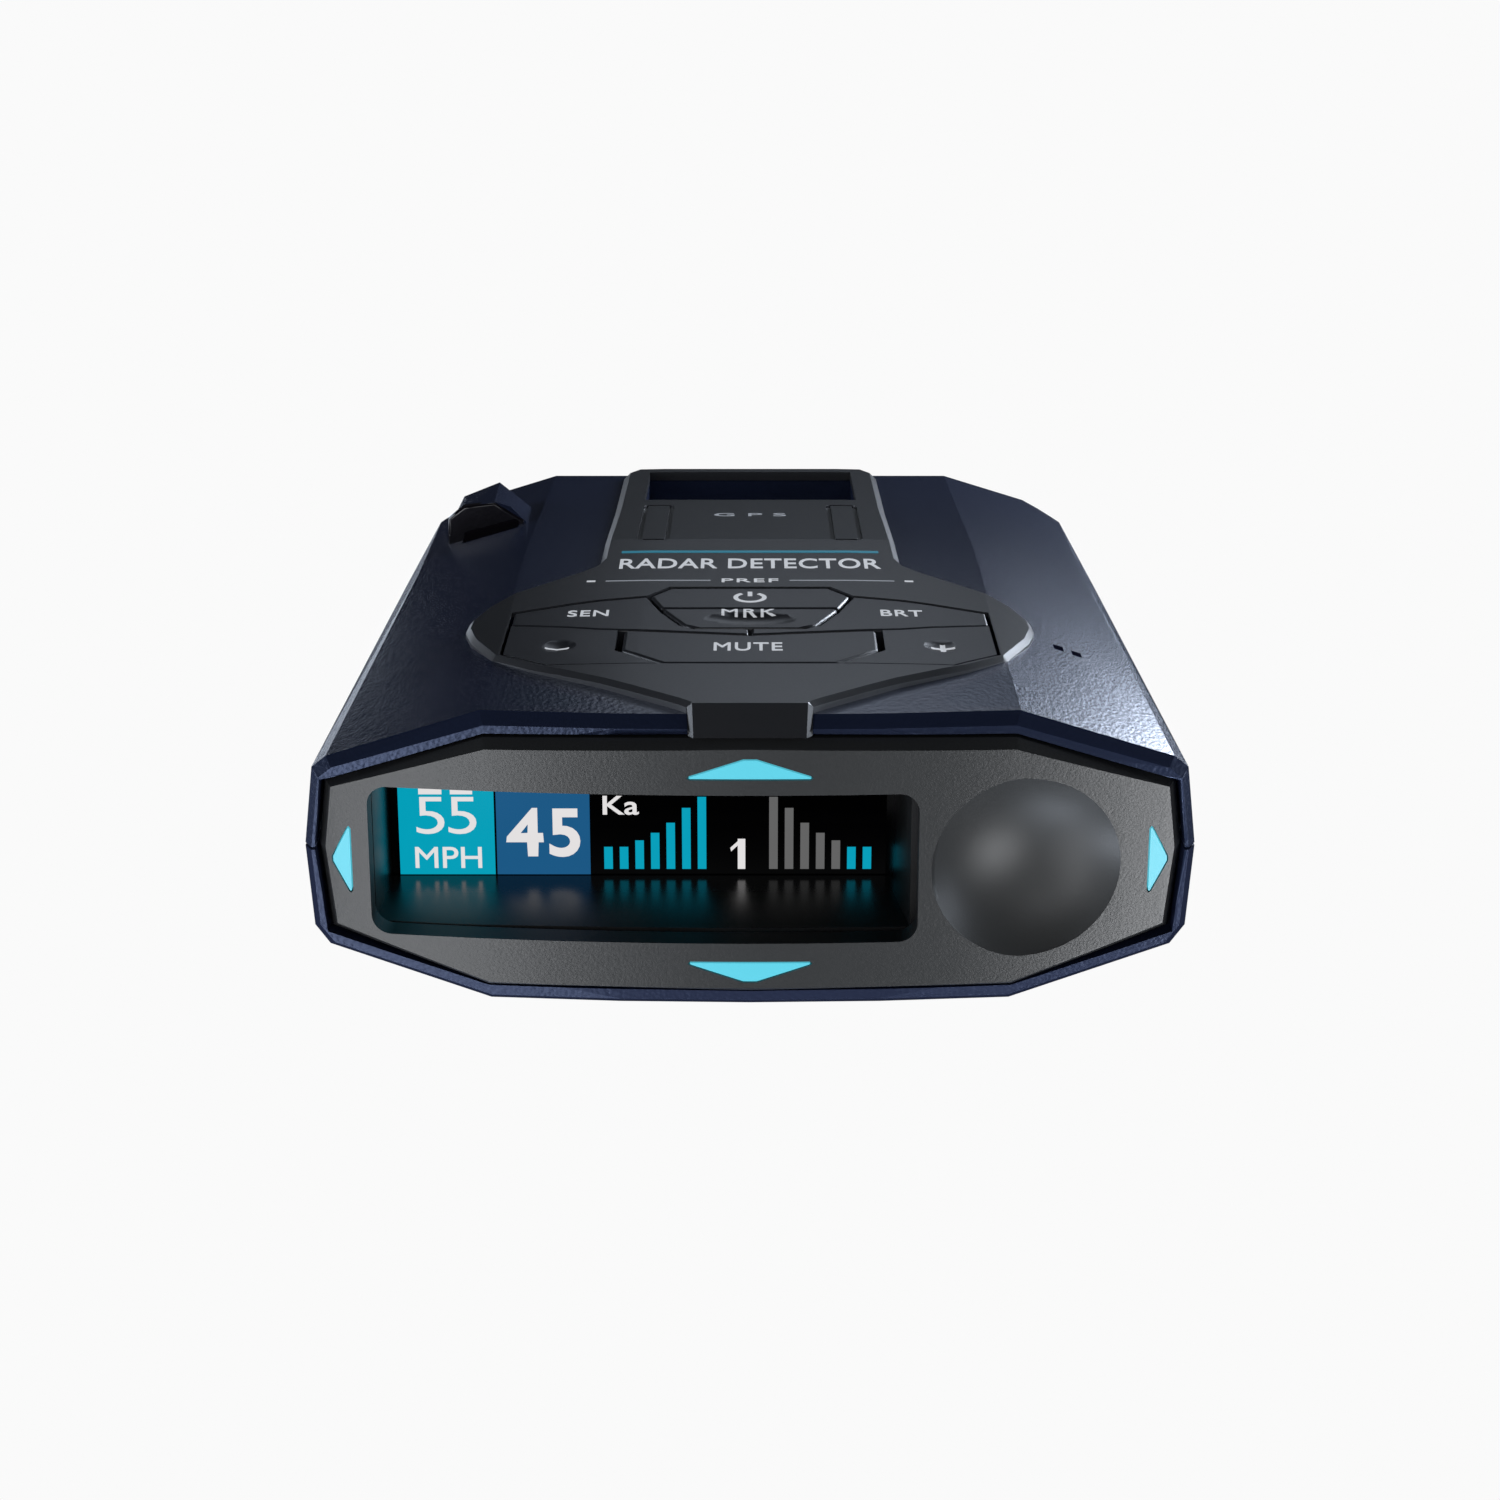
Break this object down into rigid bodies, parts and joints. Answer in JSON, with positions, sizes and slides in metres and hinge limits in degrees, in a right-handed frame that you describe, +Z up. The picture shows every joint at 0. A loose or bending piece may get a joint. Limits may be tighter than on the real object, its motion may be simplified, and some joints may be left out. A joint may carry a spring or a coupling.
{
  "type": "radar detector",
  "caption": "Faceted windscreen radar detector with a recessed colour display, top keypad, rear sensor pod, magnetic mount pocket and glowing direction arrows.",
  "frame": {"origin": "centre of the underside's bounding box, on the surface that it rests on", "axes": "+Y from the driver's side towards the windscreen nose, +Z up, +X to the driver's right"},
  "size_m": [0.0914, 0.1356, 0.0332],
  "materials": {
    "case_navy": "satin navy-black moulded plastic, fine texture",
    "case_under": "satin navy-black moulded plastic",
    "bezel_charcoal": "fine-grained charcoal moulded plastic",
    "trim_charcoal": "satin charcoal plastic",
    "key_charcoal": "satin charcoal key plastic with white print",
    "gloss_black": "polished black plastic",
    "teal_light": "translucent teal light pipe",
    "display_cover": "polished dark cover glass over a colour display",
    "display_cell": "black display cell",
    "bracket_steel": "stamped steel",
    "flex_amber": "amber polyimide film",
    "membrane_silicone": "matt silicone rubber",
    "circuit_board": "green solder mask",
    "shield_steel": "tinned steel can",
    "chip_black": "matt moulded chip package",
    "horn_casting": "die-cast alloy",
    "antenna_ceramic": "ceramic patch with a silver face",
    "speaker_black": "pressed paper cone and steel basket",
    "magnet_nickel": "nickel plated magnet",
    "smoked_lens": "smoked infra-red window",
    "connector_black": "moulded connector body",
    "connector_steel": "plated connector shell",
    "screw_black": "black oxide screw",
    "label_grey": "blank grey label",
    "led_white": "white surface-mount lamp"
  },
  "bodies": {
    "case": {"top_cover": "case_navy", "bottom_cover": "case_under", "front_bezel": "bezel_charcoal", "display_hood": "gloss_black", "display_glass": "display_cover", "display_panel": "display_cell", "display_bracket": "bracket_steel", "display_ribbon": "flex_amber", "keypad_trim": "trim_charcoal", "keypad_membrane": "membrane_silicone", "keypad_board": "circuit_board", "light_sensor": "chip_black", "main_board": "circuit_board", "radar_shield": "shield_steel", "receiver_shield": "shield_steel", "processor_chip": "chip_black", "bluetooth_module": "shield_steel", "rear_horn_antenna": "horn_casting", "front_horn_antenna": "horn_casting", "gps_antenna": "antenna_ceramic", "speaker": "speaker_black", "mount_magnet_left": "magnet_nickel", "mount_magnet_right": "magnet_nickel", "nose_lens": "smoked_lens", "nose_laser_sensor": "connector_black", "rear_laser_window": "smoked_lens", "rear_laser_sensor": "connector_black", "power_jack": "connector_black", "usb_port": "connector_steel", "earphone_jack": "connector_black", "rating_label": "label_grey", "arrow_light_up": "teal_light", "arrow_led_up": "led_white", "arrow_light_down": "teal_light", "arrow_led_down": "led_white", "arrow_light_left": "teal_light", "arrow_led_left": "led_white", "arrow_light_right": "teal_light", "arrow_led_right": "led_white", "case_screw_1": "screw_black", "case_screw_2": "screw_black", "case_screw_3": "screw_black", "case_screw_4": "screw_black", "board_screw_1": "screw_black", "board_screw_2": "screw_black"},
    "power_button": {"power_button": "key_charcoal"},
    "mark_button": {"mark_button": "key_charcoal"},
    "mute_button": {"mute_button": "key_charcoal"},
    "brightness_button": {"brightness_button": "key_charcoal"},
    "sensitivity_button": {"sensitivity_button": "key_charcoal"},
    "volume_up_button": {"volume_up_button": "key_charcoal"},
    "volume_down_button": {"volume_down_button": "key_charcoal"}
  },
  "joints": [
    {"name": "power_press", "type": "slide", "parent": "case", "child": "power_button", "axis": [0, 0, -1], "range_m": [0, 0.0007], "stiffness_N_per_m": 800},
    {"name": "mark_press", "type": "slide", "parent": "case", "child": "mark_button", "axis": [0, 0, -1], "range_m": [0, 0.0007], "stiffness_N_per_m": 800},
    {"name": "mute_press", "type": "slide", "parent": "case", "child": "mute_button", "axis": [0, 0, -1], "range_m": [0, 0.0007], "stiffness_N_per_m": 800},
    {"name": "brightness_press", "type": "slide", "parent": "case", "child": "brightness_button", "axis": [0, 0, -1], "range_m": [0, 0.0007], "stiffness_N_per_m": 800},
    {"name": "sensitivity_press", "type": "slide", "parent": "case", "child": "sensitivity_button", "axis": [0, 0, -1], "range_m": [0, 0.0007], "stiffness_N_per_m": 800},
    {"name": "volume_up_press", "type": "slide", "parent": "case", "child": "volume_up_button", "axis": [0, 0, -1], "range_m": [0, 0.0007], "stiffness_N_per_m": 800},
    {"name": "volume_down_press", "type": "slide", "parent": "case", "child": "volume_down_button", "axis": [0, 0, -1], "range_m": [0, 0.0007], "stiffness_N_per_m": 800}
  ]
}
